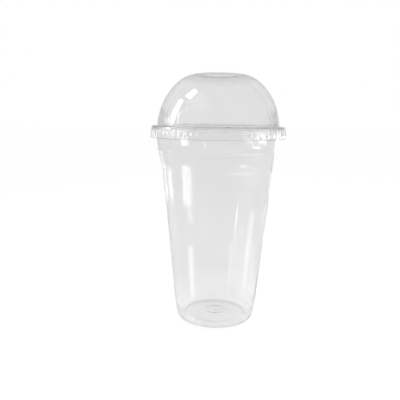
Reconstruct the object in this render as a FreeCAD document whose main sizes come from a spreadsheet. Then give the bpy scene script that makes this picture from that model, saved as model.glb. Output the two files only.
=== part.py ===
"""Clear cold-drink cup with a dome lid.

Two thermoformed pieces, in millimetres, +Z up. The origin is on the axis, in the plane of the foot.
Each piece is one thin sheet, drawn as a closed section and revolved. The lid's skirt then gets its
pressed flutes.
"""
import FreeCAD, Part
import math
import os
import Sketcher

SIZES = {
    # Cup
    "cup_height": (147.3, "foot plane to the top of the rim"),
    "cup_wall": (0.4, "thickness of the cup's sheet"),
    "base_radius": (30.2, "outer face of the wall, carried down to the foot plane"),
    "heel_radius": (4.5, "round between the foot and the wall"),
    "heel_height": (5.8, "foot plane to the heel line"),
    "heel_step": (0.5, "step of the wall at the heel line"),
    "ring_height": (16.0, "foot plane to the low ring"),
    "ring_step": (0.2, "step of the wall at the low ring"),
    "foot_width": (1.2, "flat of the foot ring"),
    "panel_height": (3.0, "rise of the base panel above the foot plane"),
    "panel_slope": (1.8, "run of the slope from the foot ring to the panel"),
    "button_radius": (7.5, "raised disc in the middle of the panel"),
    "button_rise": (0.6, "rise of that disc above the panel"),
    "rim_radius": (49.0, "outside of the curled rim"),
    "curl_radius": (1.55, "outside of the curl's own circle"),
    "collar_drop": (18.0, "top of the rim down to the collar's step"),
    "collar_narrowing": (1.2, "how much the collar narrows from the rim down to its step"),
    "collar_step": (0.6, "step of the wall at the collar"),
    "collar_rise": (0.9, "height of that step"),
    "band_height": (13.8, "collar's step down to the stacking shoulder"),
    "band_narrowing": (2.1, "how much the wall narrows over the band between them"),
    "shoulder_step": (0.8, "step of the wall at the stacking shoulder"),
    "shoulder_rise": (2.0, "height of that step"),
    # Lid
    "rim_clearance": (0.3, "between the lid and the cup's rim, above it and around it"),
    "lid_wall": (0.3, "thickness of the lid's sheet"),
    "dome_inset": (3.6, "outside of the rim in to the outside of the dome's sphere"),
    "dome_sink": (2.5, "centre of the sphere below the flange's top"),
    "crown_cut": (5.7, "top of the sphere down to the flat crown"),
    "crown_round": (22.0, "round between the dome and the flat crown"),
    "straw_hole_radius": (12.4, "hole in the crown"),
    "hole_lip": (1.6, "crown down to the end of the hole's turned edge"),
    "hole_round": (0.8, "round between the crown and that edge"),
    "root_round": (0.8, "hollow round between the dome and the flange"),
    "flange_round": (1.5, "round between the flange and the skirt"),
    "skirt_height": (8.6, "flange's top to the end of the lip"),
    "skirt_flare": (0.65, "how much the skirt widens over its height"),
    "lip_flare": (0.7, "how far the lip stands out from the skirt"),
    "lip_height": (0.8, "height of the lip"),
    "flute_count": (72, "flutes around the skirt"),
    "flute_depth": (0.4, "how far a flute stands out"),
    "flute_width": (2.4, "width of a flute"),
    "flute_top": (2.6, "flange's top down to the flutes"),
    "flute_margin": (0.4, "flutes down to the lip"),
}


class Size:
    """A number together with the sheet expression that gives it."""

    def __init__(self, value, expression):
        self.value = float(value)
        self.expression = expression

    def __add__(self, other):
        return join(self, "+", other, self.value + sized(other).value)

    def __radd__(self, other):
        return sized(other) + self

    def __sub__(self, other):
        return join(self, "-", other, self.value - sized(other).value)

    def __rsub__(self, other):
        return sized(other) - self

    def __mul__(self, other):
        return join(self, "*", other, self.value * sized(other).value)

    def __rmul__(self, other):
        return sized(other) * self

    def __truediv__(self, other):
        return join(self, "/", other, self.value / sized(other).value)

    def __rtruediv__(self, other):
        return sized(other) / self


def sized(number):
    """A plain number as a Size."""
    if isinstance(number, Size):
        return number
    return Size(number, repr(float(number)))


def join(left, sign, right, value):
    return Size(value, f"({left.expression} {sign} {sized(right).expression})")


ZERO = sized(0)


def root(square):
    """The square root of a Size."""
    return Size(math.sqrt(square.value), f"sqrt({square.expression})")


def write_sheet(doc):
    """Put the driving dimensions in the sheet, and give them back by name."""
    sheet = doc.addObject("Spreadsheet::Sheet", "Sizes")
    named = {}
    for row, (alias, (value, meaning)) in enumerate(SIZES.items(), start=1):
        sheet.set(f"A{row}", alias)
        sheet.set(f"B{row}", str(value))
        sheet.set(f"C{row}", meaning)
        sheet.setAlias(f"B{row}", alias)
        named[alias] = Size(value, f"Sizes.{alias}")
    doc.recompute()
    return named


def new_body(doc, label):
    body = doc.addObject("PartDesign::Body", label)
    body.Label = label
    body.Placement = FreeCAD.Placement()
    return body


def new_sketch(body, name):
    """A sketch in the body's own XZ plane: its x is the radius and its y is the height."""
    sketch = body.newObject("Sketcher::SketchObject", name)
    planes = [plane for plane in body.Origin.OriginFeatures if plane.Role == "XZ_Plane"]
    sketch.AttachmentSupport = [(planes[0], "")]
    sketch.MapMode = "FlatFace"
    return sketch


def arc_between(start, end, radius, turn):
    """An arc from start to end. turn is its sweep in quarters of a circle, positive anticlockwise."""
    chord = end - start
    reach = math.sqrt(max(radius ** 2 - (chord.Length / 2) ** 2, 0.0))
    across = FreeCAD.Vector(-chord.y, chord.x, 0).normalize()
    centre_is_left = (turn > 0) == (abs(turn) < 2)
    centre = (start + end) * 0.5 + across * (reach if centre_is_left else -reach)
    angles = [math.atan2(point.y - centre.y, point.x - centre.x) for point in (start, end)]
    if turn < 0:
        angles.reverse()
    circle = Part.Circle(centre, FreeCAD.Vector(0, 0, 1), radius)
    return Part.ArcOfCircle(circle, *angles)


def draw_outline(sketch, corners):
    """Draw a closed outline and tie every corner to the sheet.

    A corner is (radius, height). Where the edge to the next corner is round, the edge's own
    radius follows, and its turn in quarters of a circle, positive anticlockwise.
    """
    ends = []
    for index, corner in enumerate(corners):
        following = corners[(index + 1) % len(corners)]
        start = FreeCAD.Vector(corner[0].value, corner[1].value, 0)
        end = FreeCAD.Vector(following[0].value, following[1].value, 0)
        if len(corner) == 2:
            sketch.addGeometry(Part.LineSegment(start, end), False)
            ends.append((1, 2))
        else:
            radius, turn = corner[2:]
            sketch.addGeometry(arc_between(start, end, radius.value, turn), False)
            ends.append((1, 2) if turn > 0 else (2, 1))
            tie(sketch, Sketcher.Constraint("Radius", index, radius.value), f"round_{index}", radius)
    for index, corner in enumerate(corners):
        last = index - 1 if index else len(corners) - 1
        sketch.addConstraint(Sketcher.Constraint("Coincident", last, ends[last][1], index, ends[index][0]))
    for index, corner in enumerate(corners):
        for kind, axis, size in (("DistanceX", -2, corner[0]), ("DistanceY", -1, corner[1])):
            if size is ZERO:
                sketch.addConstraint(Sketcher.Constraint("PointOnObject", index, ends[index][0], axis))
            else:
                place = Sketcher.Constraint(kind, -1, 1, index, ends[index][0], size.value)
                tie(sketch, place, f"{kind}_{index}", size)


def tie(sketch, constraint, name, size):
    """Add a constraint with a name and bind it to the sheet."""
    number = sketch.addConstraint(constraint)
    sketch.renameConstraint(number, name)
    sketch.setExpression(f"Constraints.{name}", size.expression)


def backwards(path):
    """A stretch of outline walked the other way."""
    walked = []
    for index in range(len(path) - 1, -1, -1):
        edge = path[index - 1][2:] if index else ()
        if edge:
            radius, turn = edge
            edge = (radius, -turn)
        walked.append(path[index][:2] + edge)
    return walked


def revolve(body, name, sketch):
    """Turn the section about the body's own vertical axis."""
    feature = body.newObject("PartDesign::Revolution", name)
    feature.Profile = sketch
    feature.ReferenceAxis = (sketch, ["V_Axis"])
    feature.Angle = 360.0
    sketch.Visibility = False
    return feature


def cup_section(size):
    """The cup's sheet: underside and outside from the axis to the curl, then the inside back down."""
    wall = size["cup_wall"]

    rim_centre = size["rim_radius"] - size["curl_radius"]
    rim_level = size["cup_height"] - size["curl_radius"]
    curl_inside = size["curl_radius"] - wall
    neck_radius = rim_centre - curl_inside

    collar_level = size["cup_height"] - size["collar_drop"]
    collar_radius = neck_radius - size["collar_narrowing"]
    band_radius = collar_radius - size["collar_step"]
    shoulder_level = collar_level - size["band_height"]
    shoulder_radius = band_radius - size["band_narrowing"]
    waist_radius = shoulder_radius - size["shoulder_step"]
    taper = (waist_radius - size["base_radius"]) / shoulder_level
    lean = root(1 + taper * taper)

    ring_foot = size["base_radius"] - size["ring_step"]
    ring_top = size["ring_height"] + size["ring_step"]
    heel_foot = ring_foot - size["heel_step"]
    heel_top = size["heel_height"] + size["heel_step"]
    outside = [
        (heel_foot + taper * size["heel_height"], size["heel_height"]),
        (ring_foot + taper * heel_top, heel_top),
        (ring_foot + taper * size["ring_height"], size["ring_height"]),
        (size["base_radius"] + taper * ring_top, ring_top),
        (waist_radius, shoulder_level),
        (shoulder_radius, shoulder_level + size["shoulder_rise"]),
        (band_radius, collar_level),
        (collar_radius, collar_level + size["collar_rise"]),
    ]
    inside = [(radius - wall * lean, level) for radius, level in outside]
    curl = [
        (neck_radius, rim_level, curl_inside, -3),
        (rim_centre, rim_level - curl_inside),
        (rim_centre, rim_level - size["curl_radius"], size["curl_radius"], 3),
        (neck_radius - wall, rim_level),
    ]

    heel_level = size["heel_radius"]
    heel_centre = heel_foot + taper * heel_level - heel_level * lean
    inner_heel = heel_level - wall
    foot_inner = heel_centre - size["foot_width"]
    panel_radius = foot_inner - size["panel_slope"]
    panel_level = size["panel_height"]
    button_level = panel_level + size["button_rise"]
    slope_length = root(size["panel_slope"] * size["panel_slope"] + panel_level * panel_level)
    mitre = wall * (slope_length - size["panel_slope"]) / panel_level
    underside = [
        (ZERO, button_level),
        (size["button_radius"], button_level),
        (size["button_radius"], panel_level),
        (panel_radius, panel_level),
        (foot_inner, ZERO),
        (heel_centre, ZERO, heel_level, 1),
        (heel_centre + heel_level / lean, heel_level - heel_level * taper / lean),
    ]
    floor = [
        (ZERO, button_level + wall),
        (size["button_radius"] + wall, button_level + wall),
        (size["button_radius"] + wall, panel_level + wall),
        (panel_radius + mitre, panel_level + wall),
        (foot_inner + mitre, wall),
        (heel_centre, wall, inner_heel, 1),
        (heel_centre + inner_heel / lean, heel_level - inner_heel * taper / lean),
    ]
    return underside + outside + curl + backwards(inside) + backwards(floor)


def make_cup(doc, size):
    body = new_body(doc, "cup")
    section = new_sketch(body, "cup_section")
    draw_outline(section, cup_section(size))
    revolve(body, "cup_sheet", section)
    return body


class SkirtLines:
    """Where the lid's flange and skirt lie on the cup's rim."""

    def __init__(self, size):
        self.wall = size["lid_wall"]
        self.flange_level = size["cup_height"] + size["rim_clearance"] + self.wall
        self.skirt_radius = size["rim_radius"] + size["rim_clearance"] + self.wall
        self.slope = size["skirt_flare"] / size["skirt_height"]
        self.lean = root(1 + self.slope * self.slope)
        self.lip_drop = size["skirt_height"] - size["lip_height"]

    def point(self, drop, offset):
        """A point this far below the flange's top and this far out from the skirt's outer face."""
        return (self.skirt_radius + self.slope * drop + offset, self.flange_level - drop)


def lid_section(size):
    """The lid's sheet: outside from the straw hole to the lip, then the inside back up."""
    lines = SkirtLines(size)
    dome_radius = size["rim_radius"] - size["dome_inset"]
    sphere_level = lines.flange_level - size["dome_sink"]
    crown_level = sphere_level + dome_radius - size["crown_cut"]

    crown_reach = dome_radius - size["crown_round"]
    crown_rise = crown_reach - size["crown_cut"]
    flat_radius = root(crown_reach * crown_reach - crown_rise * crown_rise)

    root_reach = dome_radius + size["root_round"]
    root_rise = size["dome_sink"] + size["root_round"]
    root_centre = root(root_reach * root_reach - root_rise * root_rise)

    corner_level = lines.flange_level - size["flange_round"]
    corner_centre = lines.point(size["flange_round"], ZERO)[0] - size["flange_round"] * lines.lean
    turn_centre = size["straw_hole_radius"] + size["hole_round"]

    def face(depth):
        """One face of the sheet from the hole to the skirt, this deep inside the outer one."""
        sphere = dome_radius - depth
        corner = size["flange_round"] - depth
        turned = size["hole_round"] - depth
        crown_end = (sphere * flat_radius / crown_reach, sphere_level + sphere * crown_rise / crown_reach)
        dome_end = (sphere * root_centre / root_reach, sphere_level + sphere * root_rise / root_reach)
        return [
            (turn_centre - turned, crown_level - size["hole_lip"]),
            (turn_centre - turned, crown_level - size["hole_round"], turned, -1),
            (turn_centre, crown_level - depth),
            (flat_radius, crown_level - depth, size["crown_round"] - depth, -1),
            (*crown_end, sphere, -1),
            (*dome_end, size["root_round"] + depth, 1),
            (root_centre, lines.flange_level - depth),
            (corner_centre, lines.flange_level - depth, corner, -1),
            (corner_centre + corner / lines.lean, corner_level + corner * lines.slope / lines.lean),
            lines.point(lines.lip_drop, -1 * depth * lines.lean),
            lines.point(size["skirt_height"], size["lip_flare"] - depth * lines.lean),
        ]

    return face(ZERO) + backwards(face(lines.wall))


def flute_outline(lines, top, end, depth, root_offset, face_offset):
    """Side view of a flute: a low ridge along the skirt, sloped at both ends."""
    return [
        lines.point(top, root_offset),
        lines.point(top, face_offset),
        lines.point(top + depth, face_offset + depth),
        lines.point(end - depth, face_offset + depth),
        lines.point(end, face_offset),
        lines.point(end, root_offset),
    ]


def make_lid(doc, size):
    body = new_body(doc, "dome_lid")
    section = new_sketch(body, "lid_section")
    draw_outline(section, lid_section(size))
    revolve(body, "lid_sheet", section)

    lines = SkirtLines(size)
    wall = lines.wall
    buried = wall / 2
    flute_end = lines.lip_drop - size["flute_margin"]

    ridge_side = new_sketch(body, "flute_ridge_side")
    draw_outline(ridge_side, flute_outline(
        lines, size["flute_top"], flute_end, size["flute_depth"], -1 * buried, ZERO))
    ridge = body.newObject("PartDesign::Pad", "flute_ridge")
    ridge.Profile = ridge_side
    ridge.SideType = "Symmetric"
    ridge.setExpression("Length", size["flute_width"].expression)

    hollow_side = new_sketch(body, "flute_hollow_side")
    draw_outline(hollow_side, flute_outline(
        lines, size["flute_top"] + wall, flute_end - wall, size["flute_depth"],
        -1 * (wall + buried), -1 * wall))
    hollow = body.newObject("PartDesign::Pocket", "flute_hollow")
    hollow.Profile = hollow_side
    hollow.SideType = "Symmetric"
    hollow.setExpression("Length", (size["flute_width"] - 2 * wall).expression)

    pattern = body.newObject("PartDesign::PolarPattern", "flutes")
    pattern.Originals = [ridge, hollow]
    pattern.Axis = (section, ["V_Axis"])
    pattern.Angle = 360.0
    pattern.setExpression("Occurrences", size["flute_count"].expression)
    body.Tip = pattern
    return body


def check_part(doc, bodies):
    """Stop before anything is written if a feature failed or a piece isn't one sound solid."""
    for item in doc.Objects:
        if "Invalid" in item.State or "Error" in item.State:
            raise RuntimeError(f"{item.Label} failed: {item.State}")
    for body in bodies:
        shape = body.Shape
        if shape.isNull() or not shape.isValid() or len(shape.Solids) != 1:
            raise RuntimeError(f"{body.Label} isn't one valid solid")


def main():
    doc = FreeCAD.newDocument("plastic_cup_with_lid")
    size = write_sheet(doc)
    bodies = [make_cup(doc, size), make_lid(doc, size)]
    doc.recompute()
    check_part(doc, bodies)

    os.makedirs("parts", exist_ok=True)
    for body in bodies:
        print(f"{body.Label}: {body.Shape.Volume:.0f} mm3, {len(body.Shape.Faces)} faces")
        body.Shape.exportStep(f"parts/{body.Label}.step")


main()
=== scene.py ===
"""Clear cold-drink cup with a dome lid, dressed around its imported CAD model.

Metres throughout, +Z up, with the foot of the cup on the floor and its axis on Z.
Each piece is one thin sheet: its half section is drawn as a line through the middle of the sheet,
spun about the axis, and given its thickness.
"""
import math

import bpy
import bmesh
from mathutils import Euler, Matrix, Vector


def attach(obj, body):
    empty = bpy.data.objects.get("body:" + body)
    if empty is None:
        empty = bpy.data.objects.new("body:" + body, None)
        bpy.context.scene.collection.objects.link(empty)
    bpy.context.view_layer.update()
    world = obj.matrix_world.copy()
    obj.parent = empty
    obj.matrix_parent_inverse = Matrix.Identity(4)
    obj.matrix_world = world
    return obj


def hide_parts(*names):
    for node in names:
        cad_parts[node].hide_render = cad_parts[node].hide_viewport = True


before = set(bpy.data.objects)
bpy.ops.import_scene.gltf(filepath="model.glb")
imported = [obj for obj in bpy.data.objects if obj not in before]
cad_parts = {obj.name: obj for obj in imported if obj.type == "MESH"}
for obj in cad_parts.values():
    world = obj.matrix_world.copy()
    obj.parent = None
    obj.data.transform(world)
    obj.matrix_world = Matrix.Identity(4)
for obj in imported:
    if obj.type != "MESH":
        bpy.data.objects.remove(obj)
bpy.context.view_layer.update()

bl_info = {
    "name": "Clear Cup with Dome Lid",
    "version": (1, 0, 0),
    "blender": (4, 5, 0),
    "location": "View3D > Sidebar > Clear Cup",
    "description": "Builds a thin clear cup, its dome lid and a small white studio",
    "category": "Add Mesh",
}

MM = 0.001
AXIS = (0.0, 0.0, 0.0)
STUDIO_REACH = 0.45
CUP_COLUMNS = 360
COLUMNS_PER_FLUTE = 8
FLUTE_SWELL = {0: 1.0, 1: 0.85, 2: 0.3}
SHARP_EDGE = math.radians(50)
ARC_STEPS = {"curl": 18, "crown": 10, "dome": 18, "root": 5, "flange": 7}
MERGE_DISTANCE = 0.01 * MM
STREAK_NOISE = {"scale": 240.0, "stretch": 0.025}
MARK_NOISE = {"scale": 420.0, "stretch": 0.08}
WAVE_NOISE = {"scale": 55.0, "detail": 1.5}


def length(name, millimetres, description):
    """A size in the sidebar, given here in millimetres."""
    return bpy.props.FloatProperty(
        name=name, description=description, default=millimetres * MM, precision=5,
        unit="LENGTH", subtype="DISTANCE")


def share(name, value, description):
    return bpy.props.FloatProperty(
        name=name, description=description, default=value, min=0.0, max=1.0, subtype="FACTOR")


def grey(name, value, description):
    return bpy.props.FloatVectorProperty(
        name=name, description=description, default=(value, value, value, 1.0), size=4,
        min=0.0, max=1.0, subtype="COLOR")


class CupSizes(bpy.types.PropertyGroup):
    """Sizes of the cup."""
    height: length("Height", 147.3, "Foot plane to the top of the rim")
    wall: length("Wall", 0.4, "Thickness of the sheet")
    base_radius: length("Base radius", 30.2, "Outer face of the wall, carried down to the foot plane")
    heel_radius: length("Heel radius", 4.5, "Round between the foot and the wall")
    heel_height: length("Heel height", 5.8, "Foot plane to the heel line")
    heel_step: length("Heel step", 0.5, "Step of the wall at the heel line")
    heel_rise: length("Heel rise", 2.4, "Height over which that step is eased in")
    rib_height: length("Rib height", 9.6, "Foot plane to the lowest of the fine ribs")
    rib_count: bpy.props.IntProperty(
        name="Ribs", description="Fine ribs above the heel", default=3, min=0, max=4)
    rib_pitch: length("Rib pitch", 1.3, "Distance from one fine rib to the next")
    rib_depth: length("Rib depth", 0.1, "How far a fine rib stands out")
    ring_height: length("Ring height", 16.0, "Foot plane to the low ring")
    ring_step: length("Ring step", 0.2, "Step of the wall at the low ring")
    ring_rise: length("Ring rise", 1.6, "Height over which that step is eased in")
    foot_width: length("Foot width", 1.2, "Flat of the foot ring")
    panel_height: length("Panel height", 3.0, "Rise of the base panel above the foot plane")
    panel_slope: length("Panel slope", 1.8, "Run of the slope from the foot ring to the panel")
    button_radius: length("Button radius", 7.5, "Raised disc in the middle of the panel")
    button_rise: length("Button rise", 0.6, "Rise of that disc above the panel")
    nub_radius: length("Nub radius", 1.1, "Small dimple at the centre of the disc")
    nub_depth: length("Nub depth", 0.3, "Depth of that dimple")
    rim_radius: length("Rim radius", 49.0, "Outside of the curled rim")
    curl_radius: length("Curl radius", 1.55, "Outside of the curl's own circle")
    collar_drop: length("Collar drop", 18.0, "Top of the rim down to the collar's step")
    collar_narrowing: length("Collar narrowing", 1.2, "How much the collar narrows on the way down")
    collar_step: length("Collar step", 0.6, "Step of the wall at the collar")
    collar_rise: length("Collar rise", 0.9, "Height of that step")
    band_height: length("Band height", 13.8, "Collar's step down to the stacking shoulder")
    band_narrowing: length("Band narrowing", 2.1, "How much the wall narrows over that band")
    shoulder_step: length("Shoulder step", 0.8, "Step of the wall at the stacking shoulder")
    shoulder_rise: length("Shoulder rise", 2.0, "Height of that step")


class LidSizes(bpy.types.PropertyGroup):
    """Sizes of the dome lid."""
    rim_clearance: length("Rim clearance", 0.3, "Between the lid and the cup's rim")
    wall: length("Wall", 0.3, "Thickness of the sheet")
    dome_inset: length("Dome inset", 3.6, "Outside of the rim in to the outside of the dome")
    dome_sink: length("Dome sink", 2.5, "Centre of the sphere below the flange's top")
    crown_cut: length("Crown cut", 5.7, "Top of the sphere down to the flat crown")
    crown_round: length("Crown round", 22.0, "Round between the dome and the flat crown")
    straw_hole_radius: length("Straw hole radius", 12.4, "Hole in the crown")
    hole_lip: length("Hole lip", 1.6, "Crown down to the end of the hole's turned edge")
    hole_round: length("Hole round", 0.8, "Round between the crown and that edge")
    root_round: length("Root round", 0.8, "Hollow round between the dome and the flange")
    flange_round: length("Flange round", 1.5, "Round between the flange and the skirt")
    skirt_height: length("Skirt height", 8.6, "Flange's top to the end of the lip")
    skirt_flare: length("Skirt flare", 0.65, "How much the skirt widens over its height")
    lip_flare: length("Lip flare", 0.7, "How far the lip stands out from the skirt")
    lip_height: length("Lip height", 0.8, "Height of the lip")
    flute_depth: length("Flute depth", 0.4, "How far a flute stands out")
    flute_top: length("Flute top", 2.6, "Flange's top down to the flutes")
    flute_margin: length("Flute margin", 0.4, "Flutes down to the lip")
    flute_count: bpy.props.IntProperty(
        name="Flutes", description="Flutes around the skirt", default=72, min=12, max=144)


class SheetFinish(bpy.types.PropertyGroup):
    """Look of the clear sheet."""
    # Painted light and shade by height: the wall's grey is partly the plastic's own faint tone and
    # partly painted shade, in place of the darker room seen through it.
    wall_tone_and_painted_shade: grey("Wall tint", 0.885, "Colour of light that has passed the cup's wall")
    # Painted light: the base is tinted lighter than the wall, in place of the bright floor seen through
    # it.
    base_painted_light_tint: grey("Base tint", 0.965, "Colour of light that has passed the cup's base")
    # Painted highlight: the rim and the lid's skirt are tinted lighter than the wall, in place of the
    # glints on the curl and the flutes.
    rim_painted_highlight_tint: grey("Rim tint", 0.970, "Colour of light that has passed the rim or the lid's skirt")
    # Painted shade, in part: the dome's grey is partly its own faint tone and partly the darker room
    # seen through it.
    dome_tone_and_painted_shade: grey("Dome tint", 0.885, "Colour of light that has passed the dome")
    # Painted shade: the flange is tinted darker than the dome, in place of the dark surroundings it
    # reflects.
    flange_painted_shade_tint: grey("Flange tint", 0.862, "Colour of light that has passed the lid's flange")
    # Painted shade: the crown about the straw hole is tinted darker, in place of the shade in and
    # around the hole.
    crown_painted_shade_tint: grey("Crown tint", 0.78, "Colour of light that has passed the crown about the hole")
    refraction: bpy.props.FloatProperty(
        name="Refraction", description="Index of refraction of the clear plastic", default=1.575,
        min=1.0, max=2.5)
    density: bpy.props.FloatProperty(
        name="Density", description="How fast the plastic takes light away along its way through it",
        default=150.0, min=0.0, max=2000.0)
    gloss: share("Gloss", 0.03, "Least roughness of the sheet")
    haze: share("Haze", 0.07, "Roughness where the sheet is scuffed")
    base_haze: share("Base haze", 0.11, "Roughness of the base, which is scuffed all over")
    smudge: share("Smudge", 0.008, "How much the tint varies from place to place")
    cup_streaks: length("Cup streaks", 0.1, "Depth of the drawn streaks in the cup's wall")
    lid_streaks: length("Lid streaks", 0.02, "Depth of the drawn streaks in the dome")
    cup_waves: length("Cup waves", 0.15, "Depth of the cup wall's slow waves")
    lid_waves: length("Lid waves", 0.03, "Depth of the dome's slow waves")
    cup_marks: length("Cup marks", 0.03, "Depth of the pull marks on the cup's collar")
    lid_marks: length("Lid marks", 0.17, "Depth of the pull marks at the dome's foot")


class StudioSettings(bpy.types.PropertyGroup):
    """White floor, light and camera."""
    floor_colour: grey("Floor colour", 0.8, "Colour of the floor")
    floor_size: length("Floor size", 12000.0, "Side of the square floor")
    backdrop_share: share("Backdrop share", 0.6, "How much of the floor's look is plain white backdrop")
    floor_glow: bpy.props.FloatProperty(
        name="Floor glow", description="Strength of that white, for a sum of 1 where no shadow falls",
        default=1.17, min=0.0, max=2.0)
    fill: share("Fill", 0.9, "Strength of the even light from all round")
    room: share("Room", 0.8, "How bright the room shows in reflections")


def start_clean():
    """Nothing selected, and object mode."""
    if bpy.context.object and bpy.context.object.mode != "OBJECT":
        bpy.ops.object.mode_set(mode="OBJECT")
    bpy.ops.object.select_all(action="DESELECT")


def arc(centre, radius, start, end, steps):
    """Points of an arc in the half section, both ends included. Angles are in degrees."""
    points = []
    for step in range(steps + 1):
        angle = math.radians(start + (end - start) * step / steps)
        points.append((centre[0] + radius * math.cos(angle), centre[1] + radius * math.sin(angle)))
    return points


def rounded(corners, spacing):
    """A line through corners (radius, height, round), with each round drawn as a short arc.

    Long straight runs get a point about every spacing.
    """
    line = []
    for index, (x, z, radius) in enumerate(corners):
        corner = Vector((x, z))
        if radius == 0 or index in (0, len(corners) - 1):
            line.append(corner)
            continue
        back = (Vector(corners[index - 1][:2]) - corner).normalized()
        onward = (Vector(corners[index + 1][:2]) - corner).normalized()
        opening = back.angle(onward)
        run = radius / math.tan(opening / 2)
        middle = corner + (back + onward).normalized() * (radius / math.sin(opening / 2))
        first, last = corner + back * run - middle, corner + onward * run - middle
        steps = max(2, math.ceil((math.pi - opening) / math.radians(15)))
        turn = first.angle_signed(last)
        for step in range(steps + 1):
            spoke = first.copy()
            spoke.rotate(Matrix.Rotation(-turn * step / steps, 2))
            line.append(middle + spoke)
    filled = [line[0]]
    for point in line[1:]:
        gap = point - filled[-1]
        parts = max(1, round(gap.length / spacing))
        start = filled[-1]
        filled += [start + gap * (part / parts) for part in range(1, parts + 1)]
    return [tuple(point) for point in filled]


def spin_sheet(name, section, around):
    """Draw the half section and spin it once round the axis."""
    start_clean()
    bpy.ops.mesh.primitive_plane_add(size=MM, location=AXIS)
    piece = bpy.context.object
    piece.name = piece.data.name = name
    bpy.ops.object.mode_set(mode="EDIT")
    bpy.ops.mesh.merge(type="CENTER")
    bpy.ops.transform.translate(value=(section[0][0], 0.0, section[0][1]))
    for before, after in zip(section, section[1:]):
        step = (after[0] - before[0], 0.0, after[1] - before[1])
        bpy.ops.mesh.extrude_region_move(TRANSFORM_OT_translate={"value": step})
    bpy.ops.mesh.select_all(action="SELECT")
    bpy.ops.mesh.spin(steps=around, angle=math.tau, center=AXIS, axis=(0.0, 0.0, 1.0))
    bpy.ops.mesh.select_all(action="SELECT")
    bpy.ops.mesh.remove_doubles(threshold=MERGE_DISTANCE)
    bpy.ops.mesh.normals_make_consistent(inside=False)
    return piece


def thicken(piece, wall):
    """Sheet thickness on both sides of the drawn line, then smooth shading."""
    bpy.ops.object.mode_set(mode="OBJECT")
    sheet = piece.modifiers.new("Sheet", "SOLIDIFY")
    sheet.thickness = wall
    sheet.offset = 0.0
    sheet.use_even_offset = True
    sheet.use_quality_normals = True
    bpy.ops.object.modifier_apply(modifier=sheet.name)
    bpy.ops.object.shade_smooth_by_angle(angle=SHARP_EDGE)


def select_where(piece, wanted):
    """Select the vertices in edit mode that pass the test."""
    bpy.ops.mesh.select_mode(type="VERT")
    bpy.ops.mesh.select_all(action="DESELECT")
    mesh = bmesh.from_edit_mesh(piece.data)
    for vertex in mesh.verts:
        vertex.select_set(wanted(vertex.co))
    bmesh.update_edit_mesh(piece.data)


def cup_line(size):
    """Half section of the cup through the middle of its sheet, from the axis to the end of the curl."""
    half = size.wall / 2
    rim_centre = size.rim_radius - size.curl_radius
    rim_level = size.height - size.curl_radius
    curl_middle = size.curl_radius - half
    collar_level = size.height - size.collar_drop
    collar_radius = rim_centre - curl_middle + half - size.collar_narrowing
    band_radius = collar_radius - size.collar_step
    shoulder_level = collar_level - size.band_height
    shoulder_radius = band_radius - size.band_narrowing
    waist_radius = shoulder_radius - size.shoulder_step
    taper = (waist_radius - size.base_radius) / shoulder_level
    inset = half * math.sqrt(1 + taper ** 2)

    ring_foot = size.base_radius - size.ring_step
    ring_top = size.ring_height + size.ring_rise
    heel_foot = ring_foot - size.heel_step
    heel_top = size.heel_height + size.heel_rise
    heel_centre = heel_foot + taper * size.heel_radius - size.heel_radius * inset / half
    foot_inner = heel_centre - size.foot_width
    panel_radius = foot_inner - size.panel_slope
    panel_level = size.panel_height + half
    button_level = panel_level + size.button_rise
    slope_length = math.hypot(size.panel_slope, size.panel_height)
    mitre = half * (slope_length - size.panel_slope) / size.panel_height

    def wall_at(level, foot, round_):
        return (foot + taper * level - inset, level, round_)

    tight, small, soft, wide, easy = 0.3 * MM, 0.5 * MM, 1.0 * MM, 1.2 * MM, 4.0 * MM
    rib_side, spacing = 0.4 * MM, 6.0 * MM
    nub_level, nub_floor = button_level - size.nub_depth, size.nub_radius * 0.4
    corners = [
        (0.0, nub_level, 0.0),
        (nub_floor, nub_level, tight),
        (size.nub_radius, button_level, small),
        (size.button_radius - half, button_level, small),
        (size.button_radius + half * 2, panel_level, small),
        (panel_radius + mitre, panel_level, soft),
        (foot_inner + mitre, half, soft),
        wall_at(half, heel_foot, size.heel_radius - half),
        wall_at(size.heel_height, heel_foot, easy),
        wall_at(heel_top, ring_foot, easy),
    ]
    for rib in range(size.rib_count):
        level = size.rib_height + rib * size.rib_pitch
        corners += [
            wall_at(level - rib_side, ring_foot, soft),
            wall_at(level, ring_foot + size.rib_depth, soft),
            wall_at(level + rib_side, ring_foot, soft),
        ]
    corners += [
        wall_at(size.ring_height, ring_foot, easy),
        wall_at(ring_top, size.base_radius, easy),
        (waist_radius - inset, shoulder_level, wide),
        (shoulder_radius - inset, shoulder_level + size.shoulder_rise, wide),
        (band_radius - inset, collar_level, small),
        (collar_radius - inset, collar_level + size.collar_rise, small),
        (rim_centre - curl_middle, rim_level, 0.0),
    ]
    curl = arc((rim_centre, rim_level), curl_middle, 180, -90, ARC_STEPS["curl"])
    return rounded(corners, spacing) + curl[1:]


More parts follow.
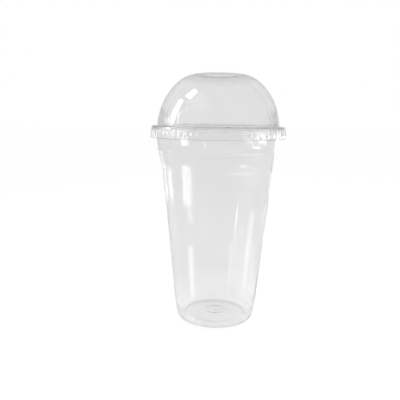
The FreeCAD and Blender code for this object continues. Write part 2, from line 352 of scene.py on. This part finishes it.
def lid_line(size, cup):
    """Half section of the lid through the middle of its sheet, from the straw hole to the lip."""
    half = size.wall / 2
    flange_level = cup.height + size.rim_clearance + size.wall
    skirt_radius = cup.rim_radius + size.rim_clearance + size.wall
    dome_radius = cup.rim_radius - size.dome_inset
    sphere_level = flange_level - size.dome_sink
    crown_level = sphere_level + dome_radius - size.crown_cut

    crown_reach = dome_radius - size.crown_round
    crown_rise = crown_reach - size.crown_cut
    flat_radius = math.sqrt(crown_reach ** 2 - crown_rise ** 2)
    crown_angle = math.degrees(math.atan2(crown_rise, flat_radius))

    root_reach = dome_radius + size.root_round
    root_rise = size.dome_sink + size.root_round
    root_centre = math.sqrt(root_reach ** 2 - root_rise ** 2)
    root_angle = math.degrees(math.atan2(root_rise, root_centre))

    slope = size.skirt_flare / size.skirt_height
    lean = math.sqrt(1 + slope ** 2)
    skirt_angle = math.degrees(math.atan(slope))
    corner_level = flange_level - size.flange_round
    corner_centre = skirt_radius + slope * size.flange_round - size.flange_round * lean
    lip_drop = size.skirt_height - size.lip_height

    def skirt(drop, out=0.0):
        return (skirt_radius + slope * drop - half * lean + out, flange_level - drop)

    flat = crown_level - half
    flute_end = lip_drop - size.flute_margin
    flute_rows = [size.flute_top, size.flute_top + size.flute_depth]
    body = flute_end - size.flute_depth - flute_rows[1]
    flute_rows += [flute_rows[1] + body * part / 4 for part in (1, 2, 3)]
    flute_rows += [flute_end - size.flute_depth, flute_end]

    turned = size.straw_hole_radius + half
    crown_spacing, lip_spacing, lip_round = 1.5 * MM, 0.4 * MM, 0.35 * MM
    hole = [
        (turned, crown_level - size.hole_lip, 0.0),
        (turned, flat, size.hole_round - half),
        (flat_radius, flat, 0.0),
    ]
    lip = [
        (*skirt(flute_end), 0.0),
        (*skirt(lip_drop), lip_round),
        (*skirt(size.skirt_height, size.lip_flare), 0.0),
    ]
    crown_centre = (flat_radius, crown_level - size.crown_round)
    root_middle = (root_centre, sphere_level + root_rise)
    dome_middle = (0.0, sphere_level)
    corner_middle = (corner_centre, corner_level)
    steps = ARC_STEPS
    line = rounded(hole, crown_spacing)[:-1]
    line += arc(crown_centre, size.crown_round - half, 90, crown_angle, steps["crown"])[:-1]
    line += arc(dome_middle, dome_radius - half, crown_angle, root_angle, steps["dome"])[:-1]
    line += arc(root_middle, size.root_round + half, 180 + root_angle, 270, steps["root"])
    line += arc(corner_middle, size.flange_round - half, 90, skirt_angle, steps["flange"])
    line += [skirt(drop) for drop in flute_rows]
    return line + rounded(lip, lip_spacing)[1:]


def press_flutes(piece, size, cup, around):
    """Push every flute of the skirt outwards, a column of vertices at a time."""
    flange_level = cup.height + size.rim_clearance + size.wall
    top = flange_level - size.flute_top
    bottom = flange_level - (size.skirt_height - size.lip_height - size.flute_margin)
    skirt_radius = cup.rim_radius + size.rim_clearance + size.skirt_flare / 2
    slack = 0.05 * MM
    for column, part in FLUTE_SWELL.items():
        def on_flute(place):
            if math.hypot(place.x, place.y) < cup.rim_radius:
                return False
            if not bottom + slack < place.z < top - slack:
                return False
            turn = math.atan2(place.y, place.x) / math.tau * around
            nearest = round(turn) % COLUMNS_PER_FLUTE
            return min(nearest, COLUMNS_PER_FLUTE - nearest) == column
        select_where(piece, on_flute)
        out = 1 + part * size.flute_depth / skirt_radius
        bpy.ops.transform.resize(value=(out, out, 1.0), center_override=AXIS)


def combine(nodes, links, operation, one, other):
    """A Math node on two values, where each is a socket or a number."""
    node = nodes.new("ShaderNodeMath")
    node.operation = operation
    for socket, value in zip(node.inputs, (one, other)):
        if isinstance(value, (int, float)):
            socket.default_value = value
        else:
            links.new(value, socket)
    return node.outputs["Value"]


def spread_out(nodes, links, value, low, high, first, last, smooth=False):
    """Map a value from one range to another, and hold it at the ends."""
    node = nodes.new("ShaderNodeMapRange")
    if smooth:
        node.interpolation_type = "SMOOTHSTEP"
    for name, number in (("From Min", low), ("From Max", high), ("To Min", first), ("To Max", last)):
        node.inputs[name].default_value = number
    links.new(value, node.inputs["Value"])
    return node.outputs["Result"]


def height_of(nodes, links, place):
    """Height of a point above the floor, with the piece at rest."""
    levels = nodes.new("ShaderNodeSeparateXYZ")
    links.new(place, levels.inputs["Vector"])
    return levels.outputs["Z"]


def within(nodes, links, place, low, high, fade):
    """1 between two heights, fading to 0 outside them."""
    level = height_of(nodes, links, place)
    rise = spread_out(nodes, links, level, low - fade, low, 0.0, 1.0)
    fall = spread_out(nodes, links, level, high, high + fade, 1.0, 0.0)
    return combine(nodes, links, "MULTIPLY", rise, fall)


def noise(nodes, links, place, scale, detail, roughness=0.5):
    """Noise of this many features a metre."""
    node = nodes.new("ShaderNodeTexNoise")
    node.inputs["Scale"].default_value = scale
    node.inputs["Detail"].default_value = detail
    node.inputs["Roughness"].default_value = roughness
    links.new(place, node.inputs["Vector"])
    return node.outputs["Fac"]


def drawn_streaks(nodes, links, place, scale, stretch):
    """Noise drawn out along the height, as the sheet is drawn when it is formed."""
    drawn = nodes.new("ShaderNodeMapping")
    drawn.inputs["Scale"].default_value = (1.0, 1.0, stretch)
    links.new(place, drawn.inputs["Vector"])
    return noise(nodes, links, drawn.outputs["Vector"], scale, 2.0, 0.55)


def bump(nodes, links, height, depth, normal=None):
    """A bump of this depth, on top of another one."""
    node = nodes.new("ShaderNodeBump")
    node.inputs["Strength"].default_value = 1.0
    node.inputs["Distance"].default_value = depth
    links.new(height, node.inputs["Height"])
    if normal:
        links.new(normal, node.inputs["Normal"])
    return node.outputs["Normal"]


def tone_and_painted_light_by_height(nodes, links, place, stops):
    """Colour that changes with height, from stops of (height, colour)."""
    lowest, highest = stops[0][0], stops[-1][0]
    level = height_of(nodes, links, place)
    height = spread_out(nodes, links, level, lowest, highest, 0.0, 1.0)
    ramp = nodes.new("ShaderNodeValToRGB")
    links.new(height, ramp.inputs["Fac"])
    marks = ramp.color_ramp.elements
    for level, _ in stops[1:-1]:
        marks.new((level - lowest) / (highest - lowest))
    for mark, (_, colour) in zip(marks, stops):
        mark.color = colour
    return ramp.outputs["Color"]


def sheet_normal(nodes, links, place, streaks, waves, pulled, depths):
    """Normal of a sheet with drawn streaks, slow waves, and pull marks on the stretch called pulled."""
    streak_depth, mark_depth, wave_depth = depths
    fade = 4 * MM
    marks = drawn_streaks(nodes, links, place, **MARK_NOISE)
    marks = spread_out(nodes, links, marks, 0.25, 0.75, -0.5, 0.5)
    marks = combine(nodes, links, "MULTIPLY", marks, within(nodes, links, place, *pulled, fade))
    normal = bump(nodes, links, streaks, streak_depth)
    normal = bump(nodes, links, marks, mark_depth, normal)
    return bump(nodes, links, waves, wave_depth, normal)


def clear_sheet(name, tones_and_painted_light, pulled, depths, scuffed, finish):
    """Glossy clear plastic: light goes through it, with faint drawn streaks and a little haze.

    The tint stops are pairs of (height, colour): a grey that is partly the sheet's own tone and
    partly painted shade, with lighter stops of painted light and darker stops of painted shade.
    Pulled is the stretch of height where the sheet was drawn most and shows close, deep pull
    marks. Depths are those of the streaks, the pull marks and the slow waves. The sheet is hazy
    all over below the height called scuffed.
    """
    material = bpy.data.materials.new(name)
    material.use_nodes = True
    nodes, links = material.node_tree.nodes, material.node_tree.links
    nodes.clear()

    place = nodes.new("ShaderNodeTexCoord").outputs["Object"]
    streaks = drawn_streaks(nodes, links, place, **STREAK_NOISE)
    waves = noise(nodes, links, place, **WAVE_NOISE)

    less, more = 1 - finish.smudge, 1 + finish.smudge
    smudges = spread_out(nodes, links, waves, 0.3, 0.7, less, more)
    # The sheet's colour here carries painted light and shade by height, varied a little at random.
    tone_with_painted_light = nodes.new("ShaderNodeVectorMath")
    tone_with_painted_light.operation = "SCALE"
    links.new(tone_and_painted_light_by_height(nodes, links, place, tones_and_painted_light), tone_with_painted_light.inputs["Vector"])
    links.new(smudges, tone_with_painted_light.inputs["Scale"])

    clean = scuffed + 4 * MM
    haze = spread_out(nodes, links, streaks, 0.35, 0.75, finish.gloss, finish.haze)
    level = height_of(nodes, links, place)
    low_haze = spread_out(nodes, links, level, scuffed, clean, finish.base_haze, 0.0)

    plastic = nodes.new("ShaderNodeBsdfPrincipled")
    plastic.inputs["Transmission Weight"].default_value = 1.0
    plastic.inputs["IOR"].default_value = finish.refraction
    links.new(tone_with_painted_light.outputs["Vector"], plastic.inputs["Base Color"])
    links.new(combine(nodes, links, "MAXIMUM", haze, low_haze), plastic.inputs["Roughness"])
    normal = sheet_normal(nodes, links, place, streaks, waves, pulled, depths)
    links.new(normal, plastic.inputs["Normal"])

    passing = nodes.new("ShaderNodeBsdfTransparent")
    surface = nodes.new("ShaderNodeMixShader")
    links.new(ray_kinds(nodes, links, "Is Shadow Ray"), surface.inputs["Fac"])
    links.new(plastic.outputs["BSDF"], surface.inputs[1])
    links.new(passing.outputs["BSDF"], surface.inputs[2])

    inside = nodes.new("ShaderNodeVolumeAbsorption")
    inside.inputs["Color"].default_value = (0.5, 0.5, 0.5, 1.0)
    inside.inputs["Density"].default_value = finish.density

    output = nodes.new("ShaderNodeOutputMaterial")
    links.new(surface.outputs["Shader"], output.inputs["Surface"])
    links.new(inside.outputs["Volume"], output.inputs["Volume"])
    return material


def ray_kinds(nodes, links, first, *others):
    """1 for rays of any of these kinds."""
    ray = nodes.new("ShaderNodeLightPath")
    total = ray.outputs[first]
    for kind in others:
        total = combine(nodes, links, "MAXIMUM", total, ray.outputs[kind])
    return total


def dress(piece, material, body, node):
    """Give the piece its material, let it stand for its CAD node and ride on that node's body."""
    piece.data.materials.clear()
    piece.data.materials.append(material)
    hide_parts(node)
    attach(piece, body)


class CUP_OT_cup(bpy.types.Operator):
    """Build the clear cup"""
    bl_idname = "clear_cup.cup"
    bl_label = "Clear Cup"

    def execute(self, context):
        size, finish = context.scene.cup_sizes, context.scene.sheet_finish
        piece = spin_sheet("cup_shell", cup_line(size), CUP_COLUMNS)
        thicken(piece, size.wall)
        # Tint stops by height, painted light and shade: lighter at the base and the rim as painted
        # light, grey on the wall, partly painted shade.
        tones_and_painted_light = [
            (10 * MM, finish.base_painted_light_tint),
            (30 * MM, finish.wall_tone_and_painted_shade),
            (size.height - 6 * MM, finish.wall_tone_and_painted_shade),
            (size.height - 2 * size.curl_radius, finish.rim_painted_highlight_tint),
        ]
        collar = (size.height - size.collar_drop - size.band_height, size.height - size.collar_drop)
        depths = (finish.cup_streaks, finish.cup_marks, finish.cup_waves)
        material = clear_sheet("clear_cup_sheet", tones_and_painted_light, collar, depths, size.heel_height, finish)
        dress(piece, material, "cup", "cup")
        return {"FINISHED"}


class CUP_OT_lid(bpy.types.Operator):
    """Build the dome lid with its fluted skirt"""
    bl_idname = "clear_cup.lid"
    bl_label = "Dome Lid"

    def execute(self, context):
        scene = context.scene
        cup, size, finish = scene.cup_sizes, scene.lid_sizes, scene.sheet_finish
        around = size.flute_count * COLUMNS_PER_FLUTE
        piece = spin_sheet("dome_lid_shell", lid_line(size, cup), around)
        press_flutes(piece, size, cup, around)
        thicken(piece, size.wall)
        crown = max(corner[2] for corner in piece.bound_box)
        # Tint stops by height, painted light and shade: a lighter skirt as painted highlight, a darker
        # flange and crown as painted shade, and a grey dome, partly painted shade.
        tones_and_painted_light = [
            (cup.height - 2 * MM, finish.rim_painted_highlight_tint),
            (cup.height - 0.5 * MM, finish.flange_painted_shade_tint),
            (cup.height + 1.8 * MM, finish.flange_painted_shade_tint),
            (cup.height + 3.5 * MM, finish.dome_tone_and_painted_shade),
            (crown - 6.5 * MM, finish.dome_tone_and_painted_shade),
            (crown - 2.5 * MM, finish.crown_painted_shade_tint),
        ]
        pulled = (cup.height + 1 * MM, cup.height + 9 * MM)
        depths = (finish.lid_streaks, finish.lid_marks, finish.lid_waves)
        material = clear_sheet("clear_lid_sheet", tones_and_painted_light, pulled, depths, 0.0, finish)
        dress(piece, material, "lid", "dome_lid")
        return {"FINISHED"}


def white_floor(settings):
    """Pale floor that shows as the white background and still takes a shadow."""
    start_clean()
    bpy.ops.mesh.primitive_plane_add(size=settings.floor_size, location=AXIS)
    floor = bpy.context.object
    floor.name = floor.data.name = "floor"
    material = bpy.data.materials.new("white_floor")
    material.use_nodes = True
    nodes, links = material.node_tree.nodes, material.node_tree.links
    nodes.clear()
    matt = nodes.new("ShaderNodeBsdfDiffuse")
    matt.inputs["Color"].default_value = settings.floor_colour
    glow = nodes.new("ShaderNodeEmission")
    glow.inputs["Strength"].default_value = settings.floor_glow
    backdrop = nodes.new("ShaderNodeMixShader")
    backdrop.inputs["Fac"].default_value = settings.backdrop_share
    links.new(matt.outputs["BSDF"], backdrop.inputs[1])
    links.new(glow.outputs["Emission"], backdrop.inputs[2])
    shown = nodes.new("ShaderNodeMixShader")
    seen = ray_kinds(nodes, links, "Is Camera Ray", "Is Glossy Ray", "Is Transmission Ray")
    links.new(seen, shown.inputs["Fac"])
    links.new(matt.outputs["BSDF"], shown.inputs[1])
    links.new(backdrop.outputs["Shader"], shown.inputs[2])
    output = nodes.new("ShaderNodeOutputMaterial")
    links.new(shown.outputs["Shader"], output.inputs["Surface"])
    floor.data.materials.append(material)


def white_world(settings):
    """Even white surroundings, a little dimmer in reflections and as light."""
    world = bpy.data.worlds.new("white_surroundings")
    bpy.context.scene.world = world
    world.use_nodes = True
    nodes, links = world.node_tree.nodes, world.node_tree.links
    nodes.clear()

    def white(strength):
        node = nodes.new("ShaderNodeBackground")
        node.inputs["Color"].default_value = (1.0, 1.0, 1.0, 1.0)
        node.inputs["Strength"].default_value = strength
        return node.outputs["Background"]

    def choose(kinds, otherwise, chosen):
        node = nodes.new("ShaderNodeMixShader")
        links.new(ray_kinds(nodes, links, *kinds), node.inputs["Fac"])
        links.new(otherwise, node.inputs[1])
        links.new(chosen, node.inputs[2])
        return node.outputs["Shader"]

    room = choose(("Is Glossy Ray",), white(settings.fill), white(settings.room))
    seen = choose(("Is Camera Ray", "Is Transmission Ray"), room, white(1.0))
    output = nodes.new("ShaderNodeOutputWorld")
    links.new(seen, output.inputs["Surface"])


def panel_light(name, foot, top, target, width, radiance, soft):
    """A light panel of this brightness that stands from its foot to its top and faces the target."""
    start_clean()
    foot, top = Vector(foot), Vector(top)
    middle = (foot + top) / 2
    height = (top - foot).length
    upward = (top - foot).normalized()
    outward = middle - Vector(target)
    outward = (outward - upward * outward.dot(upward)).normalized()
    bpy.ops.object.light_add(type="AREA", location=middle)
    lamp = bpy.context.object
    lamp.name = lamp.data.name = name
    lamp.data.shape = "RECTANGLE"
    lamp.data.size = width
    lamp.data.size_y = height
    lamp.data.energy = radiance * math.pi * width * height
    lamp.rotation_euler = Matrix((upward.cross(outward), upward, outward)).transposed().to_euler()
    lamp.visible_camera = False
    feather(lamp.data, *soft)
    return lamp


def feather(light, across, along):
    """Let the panel fade towards its edges, over these shares of its half width and half height."""
    light.use_nodes = True
    nodes, links = light.node_tree.nodes, light.node_tree.links
    place = nodes.new("ShaderNodeNewGeometry")
    sides = nodes.new("ShaderNodeSeparateXYZ")
    links.new(place.outputs["Parametric"], sides.inputs["Vector"])

    def fade(side, soft):
        offset = combine(nodes, links, "SUBTRACT", sides.outputs[side], 0.5)
        distance = combine(nodes, links, "ABSOLUTE", offset, 0.0)
        return spread_out(nodes, links, distance, 0.5, 0.5 * (1 - soft), 0.0, 1.0, smooth=True)

    strength = combine(nodes, links, "MULTIPLY", fade("X", across), fade("Y", along))
    links.new(strength, nodes["Emission"].inputs["Strength"])


def far_panel(name, azimuth, low, high, width, radiance, soft, through=True):
    """An upright panel beside the cup. Azimuth 0 is on the camera's side, and grows to the right.

    A panel that doesn't show through the plastic is seen in its outer gloss alone.
    """
    turn = math.radians(azimuth)
    x, y = STUDIO_REACH * math.sin(turn), -STUDIO_REACH * math.cos(turn)
    lamp = panel_light(name, (x, y, low), (x, y, high), (0.0, 0.0, low), width, radiance, soft)
    lamp.visible_transmission = through


def near_card(name, foot, top, target, width, radiance, soft, spread=60):
    """A small card close to the cup that shines on one stretch of its wall. Places are in mm."""
    foot, top, target = (Vector(place) * MM for place in (foot, top, target))
    lamp = panel_light(name, foot, top, target, width * MM, radiance, soft)
    half = math.radians(spread) / 2
    lamp.data.spread = 2 * half
    lamp.data.energy *= (math.tan(half) - half) / math.tan(half)
    return lamp


def studio_lights():
    """Panels for the crisp highlights and the soft sheen, and cards close by for the low ones.

    A far panel has its azimuth in degrees, its foot and top in metres, its width, its brightness,
    and how softly it ends across and along.
    """
    far_panel("dome_window_high", -82, 0.57, 0.91, 0.18, 7.0, (0.15, 0.15), through=False)
    far_panel("dome_window_low", -90, 0.20, 0.52, 0.12, 7.0, (0.2, 0.3), through=False)
    far_panel("dome_foot_window", -98, 0.14, 0.24, 0.26, 1.6, (0.4, 0.4), through=False)
    far_panel("right_strip_low", 71, 0.043, 0.062, 0.18, 2.8, (0.4, 0.3))
    far_panel("right_strip_high", 79, 0.067, 0.176, 0.28, 3.8, (0.4, 0.15))
    far_panel("back_strip", 135, 0.04, 0.13, 0.16, 3.0, (0.6, 0.5))
    far_panel("left_sheen", -85, 0.08, 0.16, 0.70, 0.5, (0.6, 0.3))
    far_panel("left_window", -67, 0.165, 0.20, 0.24, 3.0, (0.3, 0.4))
    far_panel("left_spot", -89, 0.19, 0.22, 0.08, 3.5, (0.4, 0.4))
    far_panel("collar_window", -60, 0.052, 0.078, 0.13, 5.0, (0.4, 0.4), through=False)
    far_panel("collar_slit", -23, 0.034, 0.058, 0.014, 3.0, (0.4, 0.4), through=False)
    far_panel("dome_slit", -26, 0.31, 0.37, 0.014, 3.0, (0.4, 0.4), through=False)
    far_panel("dome_spot", -66, 0.36, 0.43, 0.06, 2.0, (0.5, 0.5), through=False)
    far_panel("right_limb", 150, 0.0, 0.22, 0.30, 0.5, (0.5, 0.15), through=False)
    far_panel("left_limb", -141, 0.0, 0.06, 0.20, 0.6, (0.4, 0.2), through=False)
    near_card("lower_left_card", (-52, -43, 0), (-55, -49, 48), (-18, -30, 45), 20.0, 4.5, (0.9, 0.3))
    near_card("slant_card", (39.5, -65, 50), (45.5, -66, 83), (13, -36, 83), 6.0, 4.0, (0.5, 0.6))
    near_card("right_card", (58.5, -30.5, 1), (67, -32.5, 80), (23, -29, 60), 26.0, 2.2, (0.9, 0.3))
    floor_card("right_floor_card", (125, -55), 160, 230, 0.8)
    floor_card("right_back_card", (210, 240), 220, 220, 0.7)
    floor_card("left_back_card", (-340, 350), 180, 160, 3.0)


def floor_card(name, middle, width, depth, radiance):
    """A card that lies on the floor and shines upwards. Places and sizes are in millimetres."""
    x, y = middle
    foot, top = (x, y - depth / 2, 1), (x, y + depth / 2, 1)
    return near_card(name, foot, top, (x, y, 100), width, radiance, (0.5, 0.5), 160)


def photo_camera():
    """Camera at the photograph's place, angle and lens."""
    pitch, yaw, roll = math.radians(90 - 9.76), math.radians(2.06), 0.0145
    focal_pixels, frame_pixels = 477.0, 400
    place = (0.0, -0.360, 0.1535)
    start_clean()
    bpy.ops.object.camera_add(location=place)
    camera = bpy.context.object
    camera.name = camera.data.name = "photo_camera"
    turned = Euler((pitch, 0.0, yaw)).to_matrix() @ Matrix.Rotation(roll, 3, "Z")
    camera.rotation_euler = turned.to_euler()
    camera.data.sensor_width = 36.0
    camera.data.lens = camera.data.sensor_width * focal_pixels / frame_pixels
    camera.data.clip_start = 0.01
    camera.data.clip_end = 100.0
    bpy.context.scene.camera = camera


class CUP_OT_studio(bpy.types.Operator):
    """Build the white floor, the lights and the camera"""
    bl_idname = "clear_cup.studio"
    bl_label = "White Studio"

    def execute(self, context):
        settings = context.scene.studio_settings
        white_floor(settings)
        white_world(settings)
        studio_lights()
        photo_camera()
        context.scene.view_settings.view_transform = "Standard"
        return {"FINISHED"}


class CUP_PT_sidebar(bpy.types.Panel):
    """Sizes, finish and buttons in the sidebar"""
    bl_label = "Clear Cup"
    bl_idname = "CUP_PT_sidebar"
    bl_space_type = "VIEW_3D"
    bl_region_type = "UI"
    bl_category = "Clear Cup"

    def draw(self, context):
        scene = context.scene
        for operator, settings in (
                (CUP_OT_cup, scene.cup_sizes),
                (CUP_OT_lid, scene.lid_sizes),
                (CUP_OT_studio, scene.studio_settings),
                (None, scene.sheet_finish)):
            box = self.layout.box()
            if operator:
                box.operator(operator.bl_idname)
            for key in settings.bl_rna.properties.keys():
                if key not in {"rna_type", "name"}:
                    box.prop(settings, key)


CLASSES = (
    CupSizes, LidSizes, SheetFinish, StudioSettings,
    CUP_OT_cup, CUP_OT_lid, CUP_OT_studio, CUP_PT_sidebar)
SETTINGS = {
    "cup_sizes": CupSizes,
    "lid_sizes": LidSizes,
    "sheet_finish": SheetFinish,
    "studio_settings": StudioSettings,
}


def register():
    for item in CLASSES:
        bpy.utils.register_class(item)
    for name, group in SETTINGS.items():
        setattr(bpy.types.Scene, name, bpy.props.PointerProperty(type=group))


def unregister():
    for name in SETTINGS:
        delattr(bpy.types.Scene, name)
    for item in reversed(CLASSES):
        bpy.utils.unregister_class(item)


def main():
    register()
    bpy.ops.clear_cup.cup()
    bpy.ops.clear_cup.lid()
    bpy.ops.clear_cup.studio()


if __name__ == "__main__":
    main()
